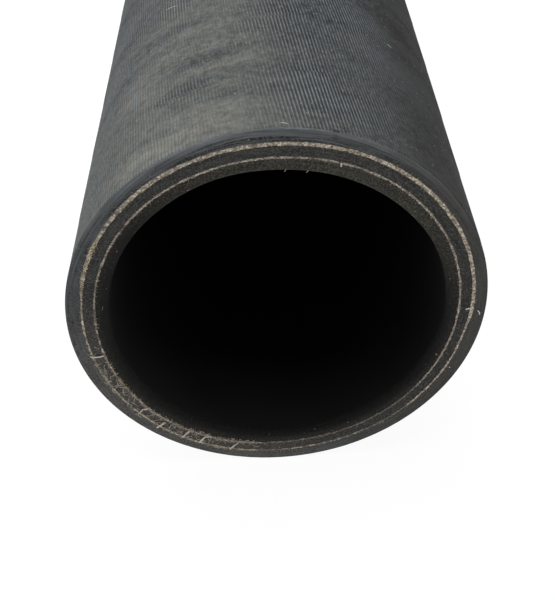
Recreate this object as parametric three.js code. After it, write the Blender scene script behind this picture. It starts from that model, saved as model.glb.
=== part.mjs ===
import * as THREE from 'three';

// A straight length of large-bore rubber hose with two fabric plies, lying on its side on a floor.
// It runs along Y with its knife-cut end towards -Y, X is sideways and +Z is up.
// From the bore outwards it is lining, inner ply, middle rubber, outer ply and cover, each a tube
// that fills the room between its neighbours. All five show on both ends.

// Driving sizes, in millimetres. The cover is measured over the doubled stretch of the outer ply.
const hoseLength = 1000;
const boreDiameter = 101.6;
const liningThickness = 4.2;
const fabricThickness = 0.78;
const middleRubberThickness = 2.85;
const coverThickness = 3.31;

// Where the outer ply laps over itself, in degrees round the hose from +X and up over the top.
const lapCentre = 81;
const lapSpan = 162;
const lapTaper = 10;

// How far the knife cut is out of square, in degrees: its +X side and its top lie further back.
const cutLeanSideways = 2;
const cutLeanBack = 3;

// The flats that stand for each round of the section.
const facetCount = 96;

const boreRadius = boreDiameter / 2;
const innerPlyInside = boreRadius + liningThickness;
const innerPlyOutside = innerPlyInside + fabricThickness;
const outerPlyInside = innerPlyOutside + middleRubberThickness;
const outerPlyOutside = outerPlyInside + 2 * fabricThickness;
const hoseRadius = outerPlyOutside + coverThickness;

// How much of the second layer of fabric lies at an angle: all of it in the lap, none past the taper.
function lapShare(angle) {
  const fromCentre = THREE.MathUtils.radToDeg(angle) - lapCentre;
  const nearest = Math.abs(THREE.MathUtils.euclideanModulo(fromCentre + 180, 360) - 180);
  return 1 - THREE.MathUtils.smoothstep(nearest, lapSpan / 2, lapSpan / 2 + lapTaper);
}

// The radius of each face between two layers, at an angle round the hose.
const boreWall = () => boreRadius;
const innerPlyInner = () => innerPlyInside;
const innerPlyOuter = () => innerPlyOutside;
const outerPlyInner = () => outerPlyInside;
const outerPlyOuter = (angle) => outerPlyOutside - fabricThickness * (1 - lapShare(angle));
const outerSkin = () => hoseRadius;

// One round of the section, with a flat and not a corner at its lowest place.
function roundOf(radiusAt) {
  const points = [];
  for (let i = 0; i < facetCount; i += 1) {
    const angle = (2 * Math.PI * (i + 0.5)) / facetCount - Math.PI / 2;
    const radius = radiusAt(angle);
    points.push(new THREE.Vector2(radius * Math.cos(angle), radius * Math.sin(angle)));
  }
  return points;
}

// Moves the points of the end towards -Y onto the plane of the knife cut.
function leanCutEnd(geometry) {
  const perX = Math.tan(THREE.MathUtils.degToRad(cutLeanSideways));
  const perZ = Math.tan(THREE.MathUtils.degToRad(cutLeanBack));
  const position = geometry.getAttribute('position');
  for (let i = 0; i < position.count; i += 1) {
    if (position.getY(i) < 0) {
      const lean = perX * position.getX(i) + perZ * position.getZ(i);
      position.setY(i, position.getY(i) + lean);
    }
  }
}

// One layer of the wall: the section between two radii, run out along the hose.
function layer(name, insideAt, outsideAt, material) {
  const section = new THREE.Shape(roundOf(outsideAt));
  section.holes.push(new THREE.Path(roundOf(insideAt)));
  const extrusion = { depth: hoseLength, steps: 1, bevelEnabled: false };
  const geometry = new THREE.ExtrudeGeometry(section, extrusion);
  geometry.translate(0, 0, -hoseLength / 2);
  geometry.rotateX(Math.PI / 2);
  leanCutEnd(geometry);
  geometry.computeVertexNormals();
  const mesh = new THREE.Mesh(geometry, material);
  mesh.name = name;
  return mesh;
}

// Soft, slightly dusty rubbers and pale cotton-coloured fabric.
const liningRubber = new THREE.MeshStandardMaterial({ color: '#242529', roughness: 0.75, metalness: 0 });
const middleRubberStock = new THREE.MeshStandardMaterial({ color: '#303236', roughness: 0.8, metalness: 0 });
const coverRubber = new THREE.MeshStandardMaterial({ color: '#4a4d50', roughness: 0.7, metalness: 0 });
const plyFabric = new THREE.MeshStandardMaterial({ color: '#a8957b', roughness: 0.95, metalness: 0 });

const hose = new THREE.Group();
hose.add(
  layer('lining', boreWall, innerPlyInner, liningRubber),
  layer('inner_ply', innerPlyInner, innerPlyOuter, plyFabric),
  layer('middle_rubber', innerPlyOuter, outerPlyInner, middleRubberStock),
  layer('outer_ply', outerPlyInner, outerPlyOuter, plyFabric.clone()),
  layer('cover', outerPlyOuter, outerSkin, coverRubber),
);

// The origin is on the floor, under the middle of the hose.
const extent = new THREE.Box3().setFromObject(hose);
hose.position.y = -(extent.min.y + extent.max.y) / 2;
hose.position.z = -extent.min.z;

export default hose;
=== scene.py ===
import math
import random

import bpy
import numpy as np
from mathutils import Matrix, Vector, noise


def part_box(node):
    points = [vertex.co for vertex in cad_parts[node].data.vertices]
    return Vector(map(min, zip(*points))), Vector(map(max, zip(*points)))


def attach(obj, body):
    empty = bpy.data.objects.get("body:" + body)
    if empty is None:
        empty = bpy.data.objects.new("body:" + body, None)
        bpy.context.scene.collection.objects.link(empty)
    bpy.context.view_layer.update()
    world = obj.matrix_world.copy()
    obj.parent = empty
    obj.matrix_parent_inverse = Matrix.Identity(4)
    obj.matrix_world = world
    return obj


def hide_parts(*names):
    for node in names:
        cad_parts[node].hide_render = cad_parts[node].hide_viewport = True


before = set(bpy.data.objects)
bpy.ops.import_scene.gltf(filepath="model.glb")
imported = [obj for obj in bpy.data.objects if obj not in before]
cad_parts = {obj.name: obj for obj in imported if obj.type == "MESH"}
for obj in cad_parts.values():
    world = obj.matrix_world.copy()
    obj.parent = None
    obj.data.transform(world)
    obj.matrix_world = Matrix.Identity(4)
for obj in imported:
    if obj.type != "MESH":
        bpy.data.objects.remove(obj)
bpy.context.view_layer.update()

MM = 0.001

# The hose as it lies: the CAD box gives its radius and its axis, and the knife cut's own numbers give the
# plane of its near end. The cut leans, so its +X side and its top lie further back.
cover_low, cover_high = (Vector(corner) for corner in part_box("cover"))
HOSE_RADIUS = (cover_high.x - cover_low.x) / 2
AXIS_Z = (cover_high.z + cover_low.z) / 2
HOSE_LENGTH = 1000 * MM
FAR_END_Y = cover_high.y
CUT_CENTRE = Vector((0, FAR_END_Y - HOSE_LENGTH, AXIS_Z))
CUT_PER_X = math.tan(math.radians(2))
CUT_PER_Z = math.tan(math.radians(3))

# Camera: at the photograph's angle, looking down on the knife-cut end. The focal length and the place
# come from the ellipse of the cut, the rings of fabric in it and the two sides of the hose, in pixels of
# the photograph.
PHOTO_HEIGHT_PX = 600
FOCAL_LENGTH_PX = 931.0
SENSOR_MM = 36
CAMERA_FROM_CUT = Vector((-7.1, -205.35, 191.4)) * MM
CAMERA_YAW = math.radians(1.865)
CAMERA_PITCH = math.radians(41.917)

ahead = Vector((math.sin(CAMERA_YAW) * math.cos(CAMERA_PITCH),
                math.cos(CAMERA_YAW) * math.cos(CAMERA_PITCH),
                -math.sin(CAMERA_PITCH)))
to_right = Vector((math.cos(CAMERA_YAW), -math.sin(CAMERA_YAW), 0))
upwards = to_right.cross(ahead)
camera = bpy.data.objects.new("camera", bpy.data.cameras.new("camera"))
camera.data.sensor_width = SENSOR_MM
camera.data.lens = FOCAL_LENGTH_PX / PHOTO_HEIGHT_PX * SENSOR_MM
camera.data.clip_start = 10 * MM
camera.matrix_world = Matrix.Translation(CUT_CENTRE + CAMERA_FROM_CUT) @ Matrix(
    (to_right, upwards, -ahead)).transposed().to_4x4()
bpy.context.scene.collection.objects.link(camera)
bpy.context.scene.camera = camera

# Cover: the outer rubber, a soft black sheet laid over the fabric. It was wrapped in wet nylon tape and
# cured, and the tape left its weave as fine ribs along the hose and a low step wherever one turn lapped
# the last. The knife turned its near edge over a little along the top. Places round the hose are in degrees
# from +X, up over the top.
COVER_COLUMNS = 512
TAPE_PITCH = 35.5 * MM
TAPE_FIRST_STEP = 34.8 * MM
TAPE_STEP_HEIGHT = 0.1 * MM
TAPE_ROWS = (0.0, 0.016, 0.12, 0.45, 0.8)
TAPE_HEIGHTS = (0.0, 1.0, 0.8, 0.45, 0.15)
SKIN_ROOM = 0.18 * MM    # the skin lies this far inside the solid, so that what sticks to it does too
SKIN_WAVE = 0.07 * MM
RIBS_PER_TURN = 377      # 1.05 mm apart, as cloth with 24 threads to the inch leaves them
SHARP_FROM = 40          # degrees between two faces
RIB_DEPTH = 0.24 * MM
RIM_CHIP = 0.45 * MM
RIM_NICK = 0.9 * MM
RIM_NICK_AT = 76.1
RIM_NICK_HALF_WIDTH = 0.7
RIM_ROUNDEST_AT = 86
KNIFE_WAVE = 0.22 * MM
KNIFE_CHATTER = 0.12 * MM
FACE_ROOM = 0.3 * MM     # and the cut face this far behind the solid's


def rough(points, cell, seed=0.0):
    """Perlin noise, about -1 to 1, at each of an array of points, with features about a cell across."""
    shift = Vector((seed * 13.7, seed * 7.3, seed * 3.1))
    values = [noise.noise(Vector(p) / cell + shift) for p in points.reshape(-1, 3)]
    return np.array(values).reshape(points.shape[:-1])


def around(columns):
    """The angles of a round's columns, from the bottom of the hose, over its +X side."""
    return np.arange(columns) * (2 * math.pi / columns) - math.pi / 2


def place(angle, radius, y):
    """Points at an angle and radius round the hose's axis, at y along it."""
    angle, radius, y = np.broadcast_arrays(angle, radius, y)
    return np.stack([radius * np.cos(angle), y, AXIS_Z + radius * np.sin(angle)], axis=-1)


def cut_y(angle, radius):
    """The y of the knife cut, a little behind its plane, so that the fibres on it stay inside the CAD box."""
    return CUT_CENTRE.y + FACE_ROOM + radius * (CUT_PER_X * np.cos(angle) + CUT_PER_Z * np.sin(angle))


def away_from(angle, degrees):
    """How far an angle is from one given in degrees, in degrees, the short way round."""
    return np.abs((np.degrees(angle) - degrees + 180) % 360 - 180)


def ease(value, low, high):
    """0 up to low, 1 from high on, and smooth between. It falls where low is the greater."""
    t = np.clip((value - low) / (high - low), 0, 1)
    return t * t * (3 - 2 * t)


# The wall's layers, from the bore outwards, and where the plies bulge in or out of the round: the angle
# and half width of each bulge in degrees, and how far it goes. The outer ply is double in its lap over
# the top. Rubber was pressed a little way into each face of the fabric.
BORE_RADIUS = 50.8 * MM
LINING = 3.95 * MM       # 0.25 mm under the solid's, so that the plies stand where the photograph shows them
FABRIC = 0.78 * MM
MIDDLE_RUBBER = 2.85 * MM
PRESSED_IN = 0.09 * MM
PRESSED_MORE_IN_LAP = 3.0
LAP_CENTRE, LAP_HALF_SPAN, LAP_TAPER = 81, 81, 10
BULGES = ((-118, 30, 1.1 * MM), (-62, 22, 0.33 * MM), (94, 25, -0.45 * MM), (174, 26, -0.22 * MM),
          (-4, 14, -0.2 * MM))


def lap_share(angle):
    """How much of the outer ply's second layer lies at an angle: 1 in its lap, 0 past the taper."""
    return 1 - ease(away_from(angle, LAP_CENTRE), LAP_HALF_SPAN, LAP_HALF_SPAN + LAP_TAPER)


def layer_radius(level, angle):
    """The radius between two layers: 0 is the bore, 1 and 2 the inner ply's faces, 3 and 4 the outer's."""
    if level == 0:
        return np.full(np.shape(angle), BORE_RADIUS)
    lap = lap_share(angle)
    steps = (0, LINING, FABRIC, MIDDLE_RUBBER, FABRIC * (1 + lap))
    pressed = PRESSED_IN * (0, 1, -1, 1 + PRESSED_MORE_IN_LAP * lap, -1)[level]
    ring = place(angle, BORE_RADIUS, 0)
    wander = 0.12 * MM * rough(ring, 22 * MM, (level + 1) // 2 * 5 + 1)
    ragged = 0.16 * MM * rough(ring, 2.2 * MM, level + 2) + 0.1 * MM * rough(ring, 0.8 * MM, level + 9)
    bulge = sum(push * np.exp(-(away_from(angle, at) / spread) ** 2) for at, spread, push in BULGES)
    return BORE_RADIUS + sum(steps[:level + 1]) + pressed + wander + ragged + bulge


def knife(angle, radius, seed=0.0):
    """How far the cut face lies behind the CAD plane: the knife's own waves and its chatter."""
    at = place(angle, radius, 0)
    waves = 0.5 + 0.5 * rough(at, 16 * MM)
    chatter = np.abs(rough(at, 1.6 * MM, 3 + seed))
    return KNIFE_WAVE * np.clip(waves, 0, 1) + KNIFE_CHATTER * chatter


def mesh_piece(name, points, faces, materials, face_material=None):
    """A smooth-shaded object from points and faces, with its corners kept sharp."""
    mesh = bpy.data.meshes.new(name)
    mesh.from_pydata([tuple(p) for p in points], [], faces)
    for material in materials:
        mesh.materials.append(material)
    if face_material is not None:
        mesh.polygons.foreach_set("material_index", face_material)
    mesh.validate()
    mesh.shade_smooth()
    mesh.set_sharp_from_angle(angle=math.radians(SHARP_FROM))
    piece = bpy.data.objects.new(name, mesh)
    bpy.context.scene.collection.objects.link(piece)
    return piece


def ring_faces(first, second):
    """Quads between two rounds of points, given as their numbers."""
    n = len(first)
    return [(first[i], first[(i + 1) % n], second[(i + 1) % n], second[i]) for i in range(n)]


def linear(hex_colour):
    """An sRGB hex colour as linear red, green, blue and alpha."""
    channels = [int(hex_colour[i:i + 2], 16) / 255 for i in (1, 3, 5)]
    return (*(c / 12.92 if c <= 0.04045 else ((c + 0.055) / 1.055) ** 2.4 for c in channels), 1.0)


def add(tree, kind, *inputs, **settings):
    """Adds a node. Its inputs are values, nodes or their outputs, in order or in a dict by socket."""
    made = tree.nodes.new("ShaderNode" + kind)
    for name, value in settings.items():
        setattr(made, name, value)
    by_socket = inputs[0] if inputs and isinstance(inputs[0], dict) else dict(enumerate(inputs))
    for socket, value in by_socket.items():
        if isinstance(value, bpy.types.Node):
            value = value.outputs[0]
        if isinstance(value, bpy.types.NodeSocket):
            tree.links.new(value, made.inputs[socket])
        else:
            made.inputs[socket].default_value = value
    return made


def new_material(name):
    """An empty node material and its tree."""
    material = bpy.data.materials.new(name)
    material.use_nodes = True
    material.node_tree.nodes.clear()
    return material, material.node_tree


# Nitrile-blend rubber, cured in tape: black with a grey bloom, ribbed by the weave, dusty in brown on the
# side that the dust fell on, satin where the tape pressed it smooth.
tape_cured_rubber, tree = new_material("tape_cured_rubber")
# A pattern's scale is its cells in a metre: the patches are 26 mm, the grain 0.7 mm and the specks 1.6 mm.
# First the tape's own frame: down its length, across it, and which turn a place is on.
here = add(tree, "TexCoord").outputs["Object"]
split = add(tree, "SeparateXYZ", here)
side, along_y, height = split.outputs
turned = add(tree, "Math", side, add(tree, "Math", height, AXIS_Z, operation="SUBTRACT"),
             operation="ARCTAN2")
arc = add(tree, "Math", turned, HOSE_RADIUS, operation="MULTIPLY")
tape_angle = math.atan2(TAPE_PITCH, 2 * math.pi * HOSE_RADIUS)
tape_width = TAPE_PITCH * math.cos(tape_angle)
rib_pitch = 2 * math.pi * HOSE_RADIUS * math.cos(tape_angle) / RIBS_PER_TURN
down_tape = add(tree, "Math", add(tree, "Math", arc, math.cos(tape_angle), operation="MULTIPLY"),
                add(tree, "Math", along_y, math.sin(tape_angle), operation="MULTIPLY"), operation="ADD")
over_tape = add(tree, "Math", add(tree, "Math", arc, -math.sin(tape_angle), operation="MULTIPLY"),
                add(tree, "Math",
                    add(tree, "Math", along_y, CUT_CENTRE.y + TAPE_FIRST_STEP, operation="SUBTRACT"),
                    math.cos(tape_angle), operation="MULTIPLY"),
                operation="ADD")
turns = add(tree, "Math", over_tape, tape_width, operation="DIVIDE")
turn = add(tree, "Math", turns, operation="FLOOR")
across = add(tree, "Math", turns, operation="FRACT")
whole_tape = add(tree, "Math", down_tape,
                 add(tree, "Math", turn, 2 * math.pi * HOSE_RADIUS * math.cos(tape_angle),
                     operation="MULTIPLY"),
                 operation="ADD")
# The ribs: the weave leans a little in each turn of tape, and is clearest on top and worn off at the right.
tape_noise = add(tree, "TexNoise",
                 {"W": add(tree, "Math", whole_tape, 60 * MM, operation="DIVIDE"), "Scale": 1.0,
                  "Detail": 1.0},
                 noise_dimensions="1D").outputs["Fac"]
lean = add(tree, "Math", add(tree, "Math", tape_noise, 0.3, operation="SUBTRACT"), 0.14,
           operation="MULTIPLY")
leaned = add(tree, "Math", down_tape,
             add(tree, "Math", add(tree, "Math", across, tape_width, operation="MULTIPLY"), lean,
                 operation="MULTIPLY"),
             operation="ADD")
rib_phase = add(tree, "Math", leaned, 2 * math.pi / rib_pitch, operation="MULTIPLY")
rib = add(tree, "Math", add(tree, "Math", rib_phase, operation="SINE"), 0.5, 0.5,
          operation="MULTIPLY_ADD")
patches = add(tree, "TexNoise", {"Vector": here, "Scale": 38.0, "Detail": 3.0}).outputs["Fac"]
rib_patches = add(tree, "MapRange",
                  {"Value": patches, "From Min": 0.36, "From Max": 0.56, "To Min": 0.5, "To Max": 1.0})
rib_clear = add(tree, "Math", rib_patches,
                add(tree, "MapRange",
                    {"Value": side, "From Min": 18 * MM, "From Max": 48 * MM, "To Min": 1.0,
                     "To Max": 0.3}),
                operation="MULTIPLY")
grain = add(tree, "TexNoise", {"Vector": here, "Scale": 1500.0, "Detail": 2.0}).outputs["Fac"]
relief = add(tree, "Math", add(tree, "Math", rib, rib_clear, operation="MULTIPLY"),
             add(tree, "Math", grain, 0.9, operation="MULTIPLY"), operation="ADD")
# The bloom: grey on the crests in 2 mm mottles, and black left in the valleys.
mottle = add(tree, "TexNoise", {"Vector": here, "Scale": 520.0, "Detail": 3.0, "Roughness": 0.7})
bloom_at = add(tree, "MapRange",
               {"Value": add(tree, "Math", mottle.outputs["Fac"], 0.5,
                             add(tree, "Math", patches, 0.5, operation="MULTIPLY"),
                             operation="MULTIPLY_ADD"),
                "From Min": 0.38, "From Max": 0.62})
bloom = add(tree, "Mix", {"Factor": bloom_at, 6: linear("#2b3135"), 7: linear("#798389")},
            data_type="RGBA")
valleys = add(tree, "Math", add(tree, "Math", rib, -1.3, 1.3, operation="MULTIPLY_ADD"), rib_clear,
              operation="MULTIPLY")
ribbed = add(tree, "Mix", {"Factor": valleys, 6: bloom.outputs[2], 7: linear("#090b0c")},
             data_type="RGBA")
# The dust: clouds 21 mm across and smears 38 mm round the hose by 8 mm along it, most of it on the left of
# the top and near the cut end.
SMEARS_PER_METRE = (26.0, 120.0, 26.0)
smear_at = add(tree, "VectorMath", here, SMEARS_PER_METRE, operation="MULTIPLY")
smears = add(tree, "TexNoise", {"Vector": smear_at, "Scale": 1.0, "Detail": 4.0, "Roughness": 0.6})
dust_right = add(tree, "MapRange",
                 {"Value": side, "From Min": -20 * MM, "From Max": 12 * MM, "To Min": 0.6,
                  "To Max": 0.14},
                 interpolation_type="SMOOTHSTEP")
dust_left = add(tree, "MapRange",
                {"Value": side, "From Min": -34 * MM, "From Max": -58 * MM, "To Min": 1.0, "To Max": 0.3},
                interpolation_type="SMOOTHSTEP")
dust_side = add(tree, "Math", dust_right, dust_left, operation="MULTIPLY")
handled_end = add(tree, "MapRange",
                  {"Value": along_y, "From Min": CUT_CENTRE.y + 35 * MM,
                   "From Max": CUT_CENTRE.y + 110 * MM, "To Min": 1.0, "To Max": 0.45},
                  interpolation_type="SMOOTHSTEP")
dust_clouds = add(tree, "TexNoise", {"Vector": here, "Scale": 48.0, "Detail": 6.0, "Roughness": 0.62})
dust_shape = add(tree, "Math",
                 add(tree, "Math", dust_clouds.outputs["Fac"], 1.2, -0.24, operation="MULTIPLY_ADD"),
                 add(tree, "Math", smears.outputs["Fac"], 2.0, -0.72, operation="MULTIPLY_ADD"),
                 operation="ADD")
near_rim = add(tree, "MapRange",
               {"Value": along_y, "From Min": CUT_CENTRE.y + 15 * MM, "From Max": CUT_CENTRE.y + 4 * MM,
                "To Max": 0.35})
dust = add(tree, "Math", add(tree, "Math", dust_side, handled_end, operation="MULTIPLY"),
           add(tree, "Math", add(tree, "Math", dust_shape, 0.0, operation="MAXIMUM"), near_rim,
               operation="ADD"),
           operation="MULTIPLY")
in_valleys = add(tree, "Math", rib, -0.7, 1.3, operation="MULTIPLY_ADD")
dust_in_ribs = add(tree, "Math", add(tree, "Math", dust, in_valleys, operation="MULTIPLY"),
                   add(tree, "Math", mottle.outputs["Fac"], 1.6, 0.3, operation="MULTIPLY_ADD"),
                   operation="MULTIPLY")
dusty = add(tree, "Mix", {"Factor": dust_in_ribs, 6: ribbed.outputs[2], 7: linear("#8b8a81")},
            data_type="RGBA", clamp_factor=True)
# The brown stain down the right side, and clay specks all over.
brown_side = add(tree, "MapRange",
                 {"Value": side, "From Min": 16 * MM, "From Max": 48 * MM, "To Min": 0.0, "To Max": 0.8},
                 interpolation_type="SMOOTHSTEP")
browned = add(tree, "Mix", {"Factor": brown_side, 6: dusty.outputs[2], 7: linear("#221f1a")},
              data_type="RGBA")
specks = add(tree, "TexVoronoi", {"Vector": here, "Scale": 620.0})
speck_pick = add(tree, "SeparateColor", specks.outputs["Color"])
speck = add(tree, "Math", add(tree, "Math", specks.outputs["Distance"], 0.2, operation="LESS_THAN"),
            add(tree, "Math", speck_pick, 0.8, operation="GREATER_THAN"), operation="MULTIPLY")
speckled = add(tree, "Mix",
               {"Factor": add(tree, "Math", speck, 0.4, operation="MULTIPLY"), 6: browned.outputs[2],
                7: linear("#a39d8e")},
               data_type="RGBA")
pressed = add(tree, "Bump", {"Height": relief, "Distance": RIB_DEPTH, "Strength": 1.0})
rubber_shader = add(tree, "BsdfPrincipled",
                    {"Base Color": speckled.outputs[2],
                     "Roughness": add(tree, "Math",
                                      add(tree, "Math", dust_clouds.outputs["Fac"], 0.3, 0.47,
                                          operation="MULTIPLY_ADD"),
                                      add(tree, "Math", brown_side, 0.35, operation="MULTIPLY"),
                                      operation="ADD"),
                     "Normal": pressed, "IOR": 1.52, "Specular IOR Level": 0.22})
add(tree, "OutputMaterial", {"Surface": rubber_shader})


def cut_rubber(name, dark, light, filler_colour, pale_rim=0.0, painted_mouth_shade=None, frayed=0.0, brown=None):
    """Knife-cut rubber: torn grain, streaks of the knife's drag round the hose and fine pale filler dust.

    The streaks are 14 mm long and 0.5 mm wide, the clouds in them 11 mm. The tears are 0.5 mm, coarser than
    the real ones, which wouldn't show.
    pale_rim is how much paler it gets towards the rim along the top, then comes the colour of the painted
    shade round the low part of the mouth and in towards the bore, frayed how much fibre dust clings to the
    lower left, and brown the stain at the right.
    """
    material, tree = new_material(name)
    here = add(tree, "TexCoord").outputs["Object"]
    side, _, height = add(tree, "SeparateXYZ", here).outputs
    above = add(tree, "Math", height, AXIS_Z, operation="SUBTRACT")
    radius = add(tree, "Math",
                 add(tree, "Math", add(tree, "Math", side, 2.0, operation="POWER"),
                     add(tree, "Math", above, 2.0, operation="POWER"), operation="ADD"),
                 operation="SQRT")
    drag_at = add(tree, "CombineXYZ",
                  {0: add(tree, "Math", side, 70.0, operation="MULTIPLY"),
                   1: add(tree, "Math", radius, 1900.0, operation="MULTIPLY"),
                   2: add(tree, "Math", above, 70.0, operation="MULTIPLY")})
    drag = add(tree, "TexNoise", {"Vector": drag_at, "Scale": 1.0, "Detail": 3.0, "Roughness": 0.6})
    torn = add(tree, "TexNoise", {"Vector": here, "Scale": 1900.0, "Detail": 4.0, "Roughness": 0.75})
    clouds = add(tree, "TexNoise", {"Vector": here, "Scale": 90.0, "Detail": 3.0})
    outwards = add(tree, "MapRange",
                   {"Value": radius, "From Min": HOSE_RADIUS - 2.6 * MM,
                    "From Max": HOSE_RADIUS - 0.6 * MM, "To Min": -0.2 * pale_rim,
                    "To Max": 0.5 * pale_rim})
    on_top = add(tree, "MapRange", {"Value": above, "From Min": 20 * MM, "From Max": 50 * MM})
    # Painted light: the pale streaks show in full on the top of the face and at half strength low down.
    painted_light_from_above = add(tree, "MapRange",
                {"Value": above, "From Min": 5 * MM, "From Max": 50 * MM, "To Min": 0.5, "To Max": 1.0})
    drawn = add(tree, "Math", drag.outputs["Fac"], 0.75,
                add(tree, "Math", clouds.outputs["Fac"], 0.25, operation="MULTIPLY"),
                operation="MULTIPLY_ADD")
    spread = add(tree, "MapRange",
                 {"Value": add(tree, "Math", outwards, on_top, drawn, operation="MULTIPLY_ADD"),
                  "From Min": 0.38, "From Max": 0.72})
    pale = add(tree, "Math", spread, painted_light_from_above, operation="MULTIPLY")
    shade = add(tree, "Mix", {"Factor": pale, 6: linear(dark), 7: linear(light)}, data_type="RGBA")
    filler = add(tree, "MapRange",
                 {"Value": torn.outputs["Fac"], "From Min": 0.47, "From Max": 0.66, "To Min": 0.0,
                  "To Max": 0.85})
    colour = add(tree, "Mix", {"Factor": filler, 6: shade.outputs[2], 7: linear(filler_colour)},
                 data_type="RGBA").outputs[2]
    if brown:
        right = add(tree, "MapRange",
                    {"Value": side, "From Min": 10 * MM, "From Max": 45 * MM, "To Min": 0.0,
                     "To Max": 0.6})
        colour = add(tree, "Mix", {"Factor": right, 6: colour, 7: linear(brown)},
                     data_type="RGBA").outputs[2]
    if frayed:
        lower_left = add(tree, "Math",
                         add(tree, "Math", side, add(tree, "Math", above, 1.15, operation="MULTIPLY"),
                             operation="ADD"),
                         -1.0, operation="MULTIPLY")
        worn = add(tree, "MapRange",
                   {"Value": lower_left, "From Min": 44 * MM, "From Max": 76 * MM, "To Min": 0.0,
                    "To Max": frayed})
        ragged = add(tree, "MapRange",
                     {"Value": torn.outputs["Fac"], "From Min": 0.4, "From Max": 0.6, "To Min": 0.4,
                      "To Max": 1.4})
        colour = add(tree, "Mix",
                     {"Factor": add(tree, "Math", worn, ragged, operation="MULTIPLY"), 6: colour,
                      7: linear("#a89d90")},
                     data_type="RGBA").outputs[2]
    # Painted shade: darker towards the lower left of the mouth and in towards the bore.
    if painted_mouth_shade:
        toward_painted_light = add(tree, "Math", add(tree, "Math", above, 0.94, operation="MULTIPLY"),
                        add(tree, "Math", side, 0.34, operation="MULTIPLY"), operation="ADD")
        shaded_low_side = add(tree, "MapRange",
                       {"Value": toward_painted_light, "From Min": 48 * MM, "From Max": 16 * MM, "To Min": 0.0,
                        "To Max": 0.85})
        shade_toward_bore = add(tree, "MapRange",
                      {"Value": radius, "From Min": BORE_RADIUS + 4.2 * MM,
                       "From Max": BORE_RADIUS + 1.8 * MM, "To Min": 0.55, "To Max": 1.0})
        colour = add(tree, "Mix",
                     {"Factor": add(tree, "Math", shaded_low_side, shade_toward_bore, operation="MULTIPLY"), 6: colour,
                      7: linear(painted_mouth_shade)},
                     data_type="RGBA").outputs[2]
    lumps = add(tree, "Math", torn.outputs["Fac"],
                add(tree, "Math", drag.outputs["Fac"], 0.8, operation="MULTIPLY"), operation="ADD")
    bump = add(tree, "Bump", {"Height": lumps, "Distance": 0.3 * MM, "Strength": 1.0})
    shader = add(tree, "BsdfPrincipled",
                 {"Base Color": colour, "Roughness": 0.85, "Normal": bump, "IOR": 1.5,
                  "Specular IOR Level": 0.2})
    add(tree, "OutputMaterial", {"Surface": shader})
    return material


# The cover's stock seen fresh: dark grey, drawn out in paler streaks where the knife dragged.
knife_cut_cover = cut_rubber("knife_cut_cover_rubber", "#2a2b2c", "#7f8487", "#6c6e70", pale_rim=0.35,
                             frayed=0.12, brown="#4a4743")

angles = around(COVER_COLUMNS)
skin_base = HOSE_RADIUS - SKIN_ROOM
points, faces, kinds = [], [], []


def store(ring):
    """Keeps a round of points and gives their numbers."""
    start = len(points)
    points.extend(ring)
    return list(range(start, start + len(ring)))


def skin_radius(angle, y, share):
    """The cover's radius: its base, a low wave, and its share of the tape's step."""
    wave = rough(place(angle, skin_base, y), 45 * MM, 4)
    return skin_base + SKIN_WAVE * wave + TAPE_STEP_HEIGHT * share


def step_share(angle, y):
    """The tape step's share at a place, read off its rows."""
    turn_at = (y - CUT_CENTRE.y - TAPE_FIRST_STEP) / TAPE_PITCH + (angle - math.pi / 2) / (2 * math.pi)
    return np.interp(turn_at % 1, TAPE_ROWS + (1.0,), TAPE_HEIGHTS + (0.0,))


# The near rim follows the knife's plane, rounded over most along the top and crumbled by the knife, and
# the far rim is a plain square cut.
chips = np.clip(rough(place(angles, skin_base, 0), 2.4 * MM, 8) - 0.1, 0, 1) ** 1.4 * RIM_CHIP * 1.6
chips += RIM_NICK * np.exp(-(away_from(angles, RIM_NICK_AT) / RIM_NICK_HALF_WIDTH) ** 2)
rim_round = (0.2 + 1.0 * (1 - ease(away_from(angles, RIM_ROUNDEST_AT), 26, 64))) * MM
near_rounds = []
for back in (3.0 * MM, 1.9 * MM):
    y = cut_y(angles, skin_base) + back
    near_rounds.append(store(place(angles, skin_radius(angles, y, step_share(angles, y)), y)))
for turned_over in (0, 25, 50, 72, 90):
    sine, cosine = math.sin(math.radians(turned_over)), math.cos(math.radians(turned_over))
    y = (cut_y(angles, skin_base) + rim_round * (1 - sine) + sine * knife(angles, skin_base)
         + 0.5 * sine * chips)
    rim_radius = skin_radius(angles, y, step_share(angles, y)) - rim_round * (1 - cosine) - sine * chips
    near_rounds.append(store(place(angles, rim_radius, y)))
under_cover = layer_radius(4, angles)
for share in (0.15, 0.32, 0.5, 0.7, 0.86, 1.0):
    radius = rim_radius * (1 - share) + under_cover * share
    near_rounds.append(store(place(angles, radius, cut_y(angles, radius) + knife(angles, radius))))
far_rounds = [store(place(angles, under_cover, FAR_END_Y - 0.02 * MM))]
for share in (0.7, 0.3):
    radius = skin_base * (1 - share) + under_cover * share
    far_rounds.append(store(place(angles, radius, FAR_END_Y - 0.5 * knife(angles, radius, 2))))
far_rounds.append(store(place(angles, skin_base - 0.1 * MM, FAR_END_Y - 0.5 * knife(angles, skin_base, 2))))
for back in (0.4 * MM, 3.0 * MM):
    y = np.full(COVER_COLUMNS, FAR_END_Y - back)
    far_rounds.append(store(place(angles, skin_radius(angles, y, step_share(angles, y)), y)))
rounds = near_rounds + far_rounds
for number, (first, second) in enumerate(zip(rounds, rounds[1:])):
    new_faces = ring_faces(first, second)
    faces += new_faces
    skin = number < 3 or number >= len(rounds) - 2
    kinds += [0 if skin else 1] * len(new_faces)

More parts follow.
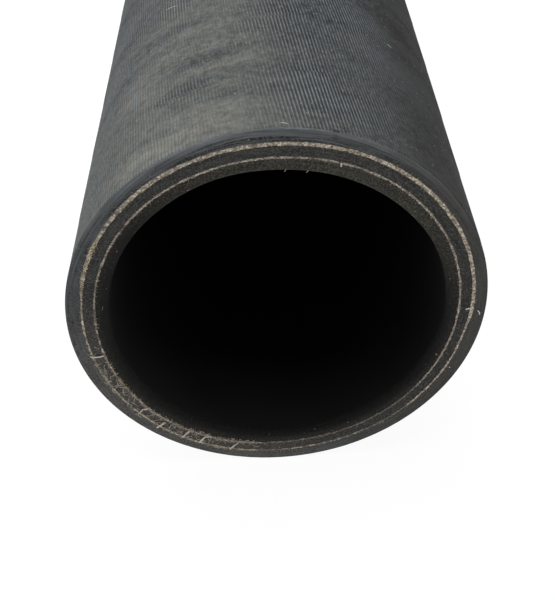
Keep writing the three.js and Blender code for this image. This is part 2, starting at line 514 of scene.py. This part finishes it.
# The skin's own rows wind round the hose with the tape, so each column holds those that fall between its
# two ends.
CLEAR_OF_RIM = 3.6 * MM
PAST_THE_ENDS = 10 ** 6
first_turn = -2
turn_count = math.ceil(HOSE_LENGTH / TAPE_PITCH) + 3
column_rows = []
for i, angle in enumerate(angles):
    near, far = cut_y(angle, skin_base) + CLEAR_OF_RIM, FAR_END_Y - CLEAR_OF_RIM
    shift = CUT_CENTRE.y + TAPE_FIRST_STEP - TAPE_PITCH * (angle - math.pi / 2) / (2 * math.pi)
    keys, ys, shares = [], [], []
    for turn_number in range(first_turn, turn_count):
        for j, row in enumerate(TAPE_ROWS):
            y = shift + TAPE_PITCH * (turn_number + row)
            if near < y < far:
                keys.append(turn_number * len(TAPE_ROWS) + j)
                ys.append(y)
                shares.append(TAPE_HEIGHTS[j])
    ys = np.array(ys)
    numbers = store(place(angle, skin_radius(np.full(len(ys), angle), ys, np.array(shares)), ys))
    column_rows.append([(-PAST_THE_ENDS, near_rounds[0][i]), *zip(keys, numbers),
                        (PAST_THE_ENDS, far_rounds[-1][i])])
for i, left in enumerate(column_rows):
    right = column_rows[(i + 1) % COVER_COLUMNS]
    if i == COVER_COLUMNS - 1:
        right = [(key if abs(key) == PAST_THE_ENDS else key + len(TAPE_ROWS), number)
                 for key, number in right]
    a = b = 0
    while a < len(left) - 1 or b < len(right) - 1:
        next_left = left[a + 1][0] if a < len(left) - 1 else math.inf
        next_right = right[b + 1][0] if b < len(right) - 1 else math.inf
        if next_left == next_right:
            faces.append((left[a][1], left[a + 1][1], right[b + 1][1], right[b][1]))
            a, b = a + 1, b + 1
        elif next_left < next_right:
            faces.append((left[a][1], left[a + 1][1], right[b][1]))
            a += 1
        else:
            faces.append((left[a][1], right[b + 1][1], right[b][1]))
            b += 1
        kinds.append(0)
cover = mesh_piece("rubber_cover", points, faces, [tape_cured_rubber, knife_cut_cover], kinds)
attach(cover, "root")
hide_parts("cover")


def closed_rounds(name, rounds, kinds, materials):
    """A piece from rounds of points, each joined to the next and the last to the first."""
    columns = len(rounds[0])
    numbers = [list(range(k * columns, (k + 1) * columns)) for k in range(len(rounds))]
    new_faces, new_kinds = [], []
    for k, first in enumerate(numbers):
        made = ring_faces(first, numbers[(k + 1) % len(numbers)])
        new_faces += made
        new_kinds += [kinds[k]] * len(made)
    return mesh_piece(name, np.concatenate(rounds), new_faces, materials, new_kinds)


def wall_layer(name, columns, inside, outside, material, face_lift=None, stations=5):
    """One layer inside the wall, closed all round: near face, outside, far face and inside."""
    at = around(columns)
    inner, outer = layer_radius(inside, at), layer_radius(outside, at)
    rounds = []
    for share in np.linspace(0, 1, stations):
        radius = inner * (1 - share) + outer * share
        lift = face_lift(at, radius) if face_lift else 0
        rounds.append(place(at, radius, cut_y(at, radius) + knife(at, radius) - lift))
    for share in (1.0, 0.5, 0.0):
        radius = inner * (1 - share) + outer * share
        rounds.append(place(at, radius, FAR_END_Y - 0.5 * knife(at, radius, 2)))
    return closed_rounds(name, rounds, [0] * len(rounds), [material])


# Plies: two sheets of undyed textile cord fabric. The inner one goes round once. The outer one laps over
# itself over the top. The knife leaves their yarn ends as a fuzzy, speckled edge, with rubber smeared
# over part of it.
YARN = 0.55 * MM
PLY_COLUMNS = 1440


def yarn_ends(angle, radius):
    """How far the cut yarns stand out of the face: a lump for each, a hollow between."""
    at = place(angle, radius, 0) / YARN
    near = np.array([noise.voronoi(Vector(p), distance_metric="DISTANCE")[0][0] for p in at])
    return (0.22 - 0.4 * near) * MM


def cord_fabric(name, dark, light, gum, smear, painted_shade_left, painted_shade_low):
    """Cut cord fabric: yarn ends of uneven tone, gummed with rubber between them and in smeared patches.

    The smears are 2.4 mm across. The fibre bump is 0.4 mm, coarser than real fibres, which wouldn't show.
    smear is how much of it is smeared over, and the next two how much more of the gum colour goes on at the
    left and low down, as painted shade.
    """
    material, tree = new_material(name)
    here = add(tree, "TexCoord").outputs["Object"]
    side, _, height = add(tree, "SeparateXYZ", here).outputs
    yarns = add(tree, "TexVoronoi", {"Vector": here, "Scale": 1 / YARN})
    yarn_tone = add(tree, "SeparateColor", yarns.outputs["Color"])
    cord = add(tree, "Mix", {"Factor": yarn_tone, 6: linear(dark), 7: linear(light)}, data_type="RGBA")
    gaps = add(tree, "MapRange",
               {"Value": yarns.outputs["Distance"], "From Min": 0.35, "From Max": 0.8, "To Min": 0.0,
                "To Max": 0.6})
    smeared = add(tree, "TexNoise", {"Vector": here, "Scale": 420.0, "Detail": 3.0, "Roughness": 0.6})
    above = add(tree, "Math", height, AXIS_Z, operation="SUBTRACT")
    towards_low = add(tree, "Math", add(tree, "Math", side, 0.42, operation="MULTIPLY"),
                      add(tree, "Math", above, -0.91, operation="MULTIPLY"), operation="ADD")
    # Painted shade: more of the gum colour at the left and low down.
    shaded_low_side = add(tree, "MapRange",
                   {"Value": towards_low, "From Min": 42 * MM, "From Max": 56 * MM, "To Min": 0.0,
                    "To Max": painted_shade_low})
    shaded_left_side = add(tree, "MapRange",
                    {"Value": side, "From Min": -36 * MM, "From Max": -56 * MM, "To Min": 0.0,
                     "To Max": painted_shade_left})
    clean_right = add(tree, "MapRange",
                      {"Value": add(tree, "Math", above, -0.14, side, operation="MULTIPLY_ADD"),
                       "From Min": 48 * MM, "From Max": 57 * MM, "To Min": 0.0, "To Max": -0.4})
    smear_and_shade_amount = add(tree, "Math",
                       add(tree, "Math", smeared.outputs["Fac"], clean_right, operation="ADD"),
                       add(tree, "Math", shaded_low_side, shaded_left_side, operation="ADD"), operation="ADD")
    smear_and_shade_mask = add(tree, "MapRange",
                     {"Value": smear_and_shade_amount, "From Min": 1 - smear, "From Max": 1.14 - smear,
                      "To Max": 0.8})
    gummed = add(tree, "Mix",
                 {"Factor": add(tree, "Math", gaps, smear_and_shade_mask, operation="MAXIMUM"), 6: cord.outputs[2],
                  7: linear(gum)},
                 data_type="RGBA")
    fibres = add(tree, "TexNoise", {"Vector": here, "Scale": 2600.0, "Detail": 3.0})
    bump = add(tree, "Bump", {"Height": fibres.outputs["Fac"], "Distance": 0.12 * MM, "Strength": 0.7})
    shader = add(tree, "BsdfPrincipled",
                 {"Base Color": gummed.outputs[2], "Roughness": 0.95, "Normal": bump, "IOR": 1.45,
                  "Sheen Weight": 0.2, "Sheen Roughness": 0.5})
    add(tree, "OutputMaterial", {"Surface": shader})
    return material


# The outer ply's yarns are cut clean and show cream, with some rubber smeared over them and a little painted
# shade at the left and low down.
cord_outer = cord_fabric("undyed_cord_fabric", "#8a7a66", "#f8eedb", "#473e36", 0.465, 0.08, 0.16)
outer_ply = wall_layer("outer_cord_ply", PLY_COLUMNS, 3, 4, cord_outer, yarn_ends, stations=8)
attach(outer_ply, "root")
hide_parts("outer_ply")

# The inner ply's yarns are steeped in more rubber, so its line is thinner and greyer, and it gets more
# painted shade at the left and low down.
cord_inner = cord_fabric("gummed_cord_fabric", "#857a70", "#dcd3c4", "#403833", 0.495, 0.12, 0.3)
inner_ply = wall_layer("inner_cord_ply", PLY_COLUMNS, 1, 2, cord_inner, yarn_ends)
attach(inner_ply, "root")
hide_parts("inner_ply")

# Middle rubber: the tie layer between the plies, a sheet of softer stock that bonds them to each other. The
# same knife cut it.
TIE_COLUMNS = 720
# Its stock seen fresh: near black, matt, grainy, with hardly a streak in it.
knife_cut_tie = cut_rubber("knife_cut_tie_rubber", "#262728", "#4a4a48", "#6a6863", frayed=0.13)
middle = wall_layer("tie_rubber", TIE_COLUMNS, 2, 3, knife_cut_tie, stations=8)
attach(middle, "root")
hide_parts("middle_rubber")

# Lining: the black tube that was extruded first, smooth inside where it lay on the steel mandrel. The
# knife drew its edge round and in, except along the top.
LINING_COLUMNS = 720
MOUTH_SHARPEST_AT = 66
# Rubber cured against polished steel: an even dull black in 17 mm clouds, a little glossier than the cut,
# painted darker than the stock as shade inside the tube.
mandrel_rubber_with_painted_shade, tree = new_material("mandrel_rubber_with_painted_shade")
here = add(tree, "TexCoord").outputs["Object"]
haze = add(tree, "TexNoise", {"Vector": here, "Scale": 60.0, "Detail": 3.0})
bore_black_and_painted_shade = add(tree, "Mix",
                  {"Factor": haze.outputs["Fac"], 6: linear("#161416"), 7: linear("#211f22")},
                  data_type="RGBA")
bore_shader = add(tree, "BsdfPrincipled",
                  {"Base Color": bore_black_and_painted_shade.outputs[2], "Roughness": 0.7, "IOR": 1.5,
                   "Specular IOR Level": 0.2})
add(tree, "OutputMaterial", {"Surface": bore_shader})
# The same stock seen fresh: a warmer black, with painted shade round the low part of the mouth.
knife_cut_lining = cut_rubber("knife_cut_lining_rubber", "#252521", "#43423b", "#6c695f", painted_mouth_shade="#111012")

at = around(LINING_COLUMNS)
from_sharpest = away_from(at, MOUTH_SHARPEST_AT)
mouth_round = (0.4 + 1.3 * ease(from_sharpest, 20, 46) + ease(from_sharpest, 60, 95)) * MM
lining_edge, lining_inside = layer_radius(1, at), layer_radius(0, at)
rounds, kinds = [], []
for share in (0, 0.2, 0.4, 0.6, 0.8, 1.0):
    radius = lining_edge * (1 - share) + (lining_inside + mouth_round) * share
    rounds.append(place(at, radius, cut_y(at, radius) + knife(at, radius)))
    kinds.append(0)
for drawn_in in (18, 36, 54, 72, 90):
    sine, cosine = math.sin(math.radians(drawn_in)), math.cos(math.radians(drawn_in))
    radius = lining_inside + mouth_round * (1 - sine)
    depth = mouth_round * (1 - cosine) + cosine * knife(at, radius)
    rounds.append(place(at, radius, cut_y(at, radius) + depth))
    kinds.append(0 if drawn_in < 90 else 1)
for y in (CUT_CENTRE.y + np.array([9, 20, 45, 110, 300, 600, 900]) * MM):
    rounds.append(place(at, lining_inside, y))
    kinds.append(1)
rounds.append(place(at, lining_inside, FAR_END_Y - 0.4 * MM))
rounds.append(place(at, lining_inside + 0.3 * MM, FAR_END_Y - 0.5 * knife(at, lining_inside, 2)))
rounds.append(place(at, lining_edge, FAR_END_Y - 0.5 * knife(at, lining_edge, 2)))
kinds += [0, 0, 0]
lining = closed_rounds("bore_lining", rounds, kinds, [knife_cut_lining, mandrel_rubber_with_painted_shade])
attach(lining, "root")
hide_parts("lining")

# Loose yarn on the cut face: single fibres that stand out of both plies all round, thickest at the lower
# left and at the end of the lap, and whole threads that the knife pulled across the rubber from ply to
# ply.
FUZZ_RADIUS = (0.03 * MM, 0.055 * MM)
FIBRES_PER_PLY = 1000
RAGGED_AT = -132
LAP_END_AT = 158
chance = random.Random(7)


def tube(path, radius, sides=4):
    """Points and faces of a thin closed fibre along a path, thinner at both ends."""
    path = np.array(path)
    made_points, made_faces = [], []
    tangents = np.gradient(path, axis=0)
    for k, (centre, tangent) in enumerate(zip(path, tangents)):
        tangent = Vector(tangent).normalized()
        first = tangent.orthogonal().normalized()
        second = tangent.cross(first)
        width = radius * (0.55 if k in (0, len(path) - 1) else 1.0)
        for corner in range(sides):
            turn_by = 2 * math.pi * corner / sides
            outwards = math.cos(turn_by) * first + math.sin(turn_by) * second
            made_points.append(Vector(centre) + width * outwards)
    for k in range(len(path) - 1):
        here_numbers = [k * sides + corner for corner in range(sides)]
        made_faces += ring_faces(here_numbers, [number + sides for number in here_numbers])
    made_faces.append(tuple(reversed(range(sides))))
    made_faces.append(tuple(range((len(path) - 1) * sides, len(path) * sides)))
    return made_points, made_faces


def joined(name, parts, material):
    """One piece from many small parts, each its points and faces, riding on the hose."""
    all_points, all_faces = [], []
    for part_points, part_faces in parts:
        start = len(all_points)
        all_points += part_points
        all_faces += [tuple(start + number for number in face) for face in part_faces]
    piece = mesh_piece(name, all_points, all_faces, [material])
    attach(piece, "root")
    return piece


def on_face(degrees, radius, proud):
    """A point on the cut face, standing proud of it."""
    angle = math.radians(degrees)
    return place(angle, radius, cut_y(angle, radius) + 0.15 * MM - proud)


def fuzz(ply_inside, ply_outside, count, crowd):
    """Short curved fibres along a ply's cut edge, crowded where the crowd function is high."""
    parts = []
    while len(parts) < count:
        degrees = chance.uniform(-180, 180)
        if chance.random() > crowd(degrees):
            continue
        inner = float(layer_radius(ply_inside, np.array(math.radians(degrees))))
        outer = float(layer_radius(ply_outside, np.array(math.radians(degrees))))
        radius = chance.uniform(inner, outer)
        length = chance.uniform(0.35, 0.8 + 0.9 * crowd(degrees)) * MM
        heading = chance.uniform(0, 2 * math.pi)
        curl = chance.uniform(-1.6, 1.6)
        rise = chance.uniform(0.0, 0.4)
        path = []
        spot_degrees, spot_radius, proud = degrees, radius, 0.0
        for step in range(4):
            path.append(on_face(spot_degrees, spot_radius, proud))
            spot_degrees += math.degrees(length / 3 * math.cos(heading + curl * step / 3) / radius)
            spot_radius += length / 3 * math.sin(heading + curl * step / 3)
            proud += rise * length / 3 * (1 - step / 4)
        parts.append(tube(path, chance.uniform(*FUZZ_RADIUS)))
    return parts


def lower_left(degrees):
    """1 in the ragged stretch at the lower left, down to a fifth elsewhere."""
    return 0.2 + 0.8 * float(ease(away_from(math.radians(degrees), RAGGED_AT), 40, 24))


def lap_end(degrees):
    """0.5 where the lap ends at the left, 0.6 in the ragged stretch at the lower left, and 0.2 elsewhere."""
    at_lap = float(ease(away_from(math.radians(degrees), LAP_END_AT), 12, 7))
    return max(0.2 + 0.3 * at_lap, 0.6 * lower_left(degrees))


# Single fibres of the undyed yarn: tan to cream and dull.
loose_fibre, tree = new_material("loose_undyed_fibre")
here = add(tree, "TexCoord").outputs["Object"]
tones = add(tree, "TexNoise", {"Vector": here, "Scale": 300.0, "Detail": 1.0})
fibre_colour = add(tree, "Mix",
                   {"Factor": tones.outputs["Fac"], 6: linear("#8f7d6a"), 7: linear("#d8cab4")},
                   data_type="RGBA")
fibre_shader = add(tree, "BsdfPrincipled",
                   {"Base Color": fibre_colour.outputs[2], "Roughness": 0.8, "IOR": 1.5})
add(tree, "OutputMaterial", {"Surface": fibre_shader})
outer_fuzz = joined("outer_ply_fuzz", fuzz(3, 4, FIBRES_PER_PLY, lap_end), loose_fibre)
inner_fuzz = joined("inner_ply_fuzz", fuzz(1, 2, FIBRES_PER_PLY, lower_left), loose_fibre)

# The pulled threads: each the places it passes, as degrees round the hose and millimetres from its axis.
PULLED_THREADS = (
    ((-167.5, 59.4), (-167.4, 57.6), (-166.9, 55.2)),
    ((-140.0, 59.9), (-140.6, 57.1), (-139.4, 55.8)),
    ((-131.7, 60.8), (-131.6, 58.9), (-131.0, 57.1)),
    ((-122.7, 60.0), (-122.6, 58.2), (-121.8, 56.5)),
    ((-116.8, 59.9), (-116.1, 56.4), (-114.1, 55.7)),
    ((-106.2, 60.1), (-105.6, 58.2), (-104.3, 56.3)),
)
STRANDS_IN_A_THREAD = 4
STRAND_RADIUS_MM = (0.08, 0.15)
CROSSING_FIBRES = 110
CROSSING_RADIUS_MM = (0.03, 0.065)
pulled = []
for places in PULLED_THREADS:
    for _ in range(STRANDS_IN_A_THREAD):
        sway = [chance.uniform(-0.28, 0.28) for place_passed in places]
        path = []
        for step in range(9):
            share = step / 8 * (len(places) - 1)
            leg = min(int(share), len(places) - 2)
            share -= leg
            (from_degrees, from_radius), (to_degrees, to_radius) = places[leg], places[leg + 1]
            swayed = sway[leg] * (1 - share) + sway[leg + 1] * share
            degrees = from_degrees * (1 - share) + to_degrees * share + swayed
            radius = from_radius * (1 - share) + to_radius * share
            proud = (0.25 + 0.35 * math.sin(math.pi * step / 8)) * MM
            path.append(on_face(degrees + chance.uniform(-0.1, 0.1),
                                (radius + chance.uniform(-0.1, 0.1)) * MM, proud))
        pulled.append(tube(path, chance.uniform(*STRAND_RADIUS_MM) * MM, 6))
for _ in range(CROSSING_FIBRES):
    degrees, radius = chance.uniform(-172, -97), chance.uniform(55.3, 60.6)
    heading = chance.choice((0.0, math.pi, -math.pi / 2, -1.9, -1.2)) + chance.uniform(-0.5, 0.5)
    length = chance.uniform(1.2, 3.6)
    curl = chance.uniform(-1.8, 1.8)
    path = []
    for step in range(7):
        path.append(on_face(degrees, radius * MM, (0.1 + 0.22 * math.sin(math.pi * step / 6)) * MM))
        bearing = heading + curl * (step / 6 - 0.5) + chance.uniform(-0.35, 0.35)
        degrees += math.degrees(length / 6 * math.cos(bearing) / radius)
        radius = min(max(radius + length / 6 * math.sin(bearing), 54.8), 61.5)
    pulled.append(tube(path, chance.uniform(*CROSSING_RADIUS_MM) * MM))
for degrees in (87.7, 81.0):
    path = [on_face(degrees + 0.15 * step, (51.1 - 0.17 * step) * MM, (0.1 + 0.04 * step) * MM)
            for step in range(5)]
    pulled.append(tube(path, 0.05 * MM))
path = [on_face(-1.0 - 0.4 * step, (60.8 + 0.9 * math.sin(step / 4 * math.pi / 1.6)) * MM, 0.35 * MM)
        for step in range(5)]
pulled.append(tube(path, 0.2 * MM, 6))

# Whole threads pulled clear of the rubber: off-white and dull.
pale_thread, tree = new_material("pale_pulled_thread")
thread_shader = add(tree, "BsdfPrincipled",
                    {"Base Color": linear("#e0d9cc"), "Roughness": 0.85, "IOR": 1.5})
add(tree, "OutputMaterial", {"Surface": thread_shader})
threads = joined("pulled_threads", pulled, pale_thread)

# Dirt: crumbs of stone and dried clay from the ground the hose was cut on. They lie on the cover and stick
# to the cut face.


def crumb(centre, size, flat_along, squash=0.6):
    """A rough eight-sided crumb, squashed along one direction."""
    flat_along = Vector(flat_along).normalized()
    corners = []
    for direction in ((1, 0, 0), (-1, 0, 0), (0, 1, 0), (0, -1, 0), (0, 0, 1), (0, 0, -1)):
        reach = Vector(direction) * size * chance.uniform(0.6, 1.2)
        reach -= flat_along * reach.dot(flat_along) * (1 - squash)
        corners.append(Vector(centre) + reach)
    return corners, [(0, 2, 4), (2, 1, 4), (1, 3, 4), (3, 0, 4), (2, 0, 5), (1, 2, 5), (3, 1, 5), (0, 3, 5)]


def on_cover(degrees, behind):
    """A point on the cover's skin, some way behind the cut's centre, and the way out from there."""
    angle = math.radians(degrees)
    y = CUT_CENTRE.y + behind
    share = step_share(np.array(angle), np.array(y))
    radius = float(skin_radius(np.array(angle), np.array(y), share))
    return Vector(place(angle, radius, y)), Vector((math.cos(angle), 0, math.sin(angle)))


# The crumbs that show most in the photograph: degrees round the hose, millimetres behind the cut, and size.
LARGE_CRUMBS = ((72.6, 81.5, 0.6), (92.9, 68.3, 0.4), (142.9, 95.5, 0.45), (66.9, 45.7, 0.4),
                (68.7, 44.7, 0.35), (59.8, 26.5, 0.35), (54.0, 48.3, 0.35), (45.6, 57.1, 0.3),
                (119.4, 31.7, 0.3), (104.0, 31.3, 0.3), (91.1, 8.8, 0.3), (72.3, 22.6, 0.3),
                (67.0, 69.3, 0.3))
# The same for the cut face: degrees round the hose, millimetres from its axis, and size.
FACE_CRUMBS = ((96.5, 54.6, 0.3), (72.1, 54.8, 0.46), (72.0, 54.2, 0.4), (-24.0, 60.1, 0.3),
               (-20.4, 53.3, 0.25), (-0.5, 57.3, 0.4), (-0.3, 57.9, 0.5), (-0.2, 58.5, 0.5), (0.2, 59.0, 0.5))
CRUMBS_ALL_ALONG = 420
CRUMBS_NEAR_THE_CUT = 110
CRUMBS_ON_THE_FACE = 150
crumbs = []
for degrees, behind, size in LARGE_CRUMBS:
    spot, out = on_cover(degrees, behind * MM)
    crumbs.append(crumb(spot - out * size * 0.2 * MM, size * 0.6 * MM, out))
for _ in range(CRUMBS_ALL_ALONG):
    spot, out = on_cover(chance.uniform(-20, 200), chance.uniform(6, 995) * MM)
    size = chance.uniform(0.08, 0.24) * MM
    crumbs.append(crumb(spot - out * size * 0.35, size, out))
for _ in range(CRUMBS_NEAR_THE_CUT):
    spot, out = on_cover(chance.uniform(10, 170), chance.uniform(5, 130) * MM)
    size = chance.uniform(0.08, 0.2) * MM
    crumbs.append(crumb(spot - out * size * 0.35, size, out))
for _ in range(CRUMBS_ON_THE_FACE):
    radius = chance.uniform(51.5, 62.5) * MM
    spot = Vector(on_face(chance.uniform(-180, 180), radius, chance.uniform(-0.1, 0.05) * MM))
    crumbs.append(crumb(spot, chance.uniform(0.06, 0.15) * MM, (0, 1, 0)))
for degrees, radius, size in FACE_CRUMBS:
    crumbs.append(crumb(Vector(on_face(degrees, radius * MM, 0.25 * MM)), size * MM, (0, 1, 0)))

# Dry clay and stone dust: pale and chalky, without any shine.
pale_grit, tree = new_material("dry_clay_and_stone_dust")
grit_shader = add(tree, "BsdfPrincipled", {"Base Color": linear("#ded8ca"), "Roughness": 0.9, "IOR": 1.5})
add(tree, "OutputMaterial", {"Surface": grit_shader})
joined("stuck_grit", crumbs, pale_grit)

# Frayed yarn: the plies' ends stand up in lumps where the outer ply's lap ends at the left, and here and
# there all round. They are the yarns' own cut ends, untwisted by the knife.
YARN_LUMPS = 420
yarn_lumps = []
while len(yarn_lumps) < YARN_LUMPS:
    degrees = chance.uniform(-180, 180)
    at_lap_end = float(ease(away_from(math.radians(degrees), LAP_END_AT), 11, 6))
    if chance.random() > 0.12 + 0.88 * at_lap_end:
        continue
    outer_one = at_lap_end > 0 or chance.random() < 0.6
    levels = (3, 4) if outer_one else (1, 2)
    edges = [float(layer_radius(level, np.array(math.radians(degrees)))) for level in levels]
    spot = Vector(on_face(degrees, chance.uniform(edges[0] - 0.25 * MM * at_lap_end, edges[1]), 0.1 * MM))
    yarn_lumps.append(crumb(spot, chance.uniform(0.09, 0.18 + 0.08 * at_lap_end) * MM, (0, 1, 0), 0.9))
# Untwisted yarn ends: cream where clean, brown in the hollows that rubber stained, and dull.
yarn_end, tree = new_material("frayed_yarn_ends")
here = add(tree, "TexCoord").outputs["Object"]
yarn_tones = add(tree, "TexNoise", {"Vector": here, "Scale": 900.0, "Detail": 1.0})
yarn_spread = add(tree, "MapRange",
                  {"Value": yarn_tones.outputs["Fac"], "From Min": 0.35, "From Max": 0.6})
yarn_colour = add(tree, "Mix", {"Factor": yarn_spread, 6: linear("#8b7a5a"), 7: linear("#fff3cf")},
                  data_type="RGBA")
yarn_shader = add(tree, "BsdfPrincipled",
                  {"Base Color": yarn_colour.outputs[2], "Roughness": 0.9, "IOR": 1.5})
add(tree, "OutputMaterial", {"Surface": yarn_shader})
lumps = joined("yarn_lumps", yarn_lumps, yarn_end)

# Lint and scratches on the cover: short pale fibres that lie along it, as their two ends on the cover.
LINT = (((89.5, 6.4), (87.9, 5.9)), ((123.8, 98.7), (119.3, 96.3)), ((53.7, 74.2), (51.9, 73.9)))
LINT_RADIUS = 0.11 * MM
lint = []
for (from_degrees, from_behind), (to_degrees, to_behind) in LINT:
    path = []
    for step in range(5):
        share = step / 4
        spot, out = on_cover(from_degrees * (1 - share) + to_degrees * share,
                             (from_behind * (1 - share) + to_behind * share + 0.3 * math.sin(share * 3)) * MM)
        path.append(spot - out * 0.02 * MM)
    lint.append(tube(path, LINT_RADIUS))
joined("lint", lint, pale_thread)

# Floor, light and backdrop: a white studio floor that glows a little, so shadows on it stay faint.
FLOOR_HALF = 40.0
FLOOR_GLOW = 0.94
floor_mesh = bpy.data.meshes.new("floor")
floor_corners = [(-FLOOR_HALF, -FLOOR_HALF, 0), (FLOOR_HALF, -FLOOR_HALF, 0), (FLOOR_HALF, FLOOR_HALF, 0),
                 (-FLOOR_HALF, FLOOR_HALF, 0)]
floor_mesh.from_pydata(floor_corners, [], [(0, 1, 2, 3)])
floor = bpy.data.objects.new("floor", floor_mesh)
bpy.context.scene.collection.objects.link(floor)
pale_floor, tree = new_material("pale_floor")
floor_shader = add(tree, "BsdfPrincipled",
                   {"Base Color": (0.12, 0.12, 0.12, 1), "Roughness": 0.9, "Specular IOR Level": 0.0,
                    "Emission Color": (1, 1, 1, 1), "Emission Strength": FLOOR_GLOW})
add(tree, "OutputMaterial", {"Surface": floor_shader})
floor_mesh.materials.append(pale_floor)

world = bpy.data.worlds.new("studio")
world.use_nodes = True
world.node_tree.nodes.clear()
dim = add(world.node_tree, "Background", {"Color": (1, 1, 1, 1), "Strength": 0.15})
add(world.node_tree, "OutputWorld", {"Surface": dim})
bpy.context.scene.world = world


def softbox(name, size, watts, place_from_cut, aim_from_cut):
    """A square area light at a place, turned to a point, both given from the cut's centre."""
    data = bpy.data.lights.new(name, "AREA")
    data.shape = "SQUARE"
    data.size = size
    data.energy = watts
    lamp = bpy.data.objects.new(name, data)
    lamp.location = CUT_CENTRE + Vector(place_from_cut)
    lamp.rotation_euler = (Vector(aim_from_cut) - Vector(place_from_cut)).to_track_quat("-Z", "Y").to_euler()
    bpy.context.scene.collection.objects.link(lamp)


softbox("key", 1.1, 13, (-0.5, 0.75, 1.15), (0, 0.1, 0))
softbox("top", 1.0, 9, (0.2, 0.1, 1.35), (0, 0.1, 0))
bpy.context.scene.view_settings.view_transform = "Standard"
bpy.context.scene.view_settings.look = "None"
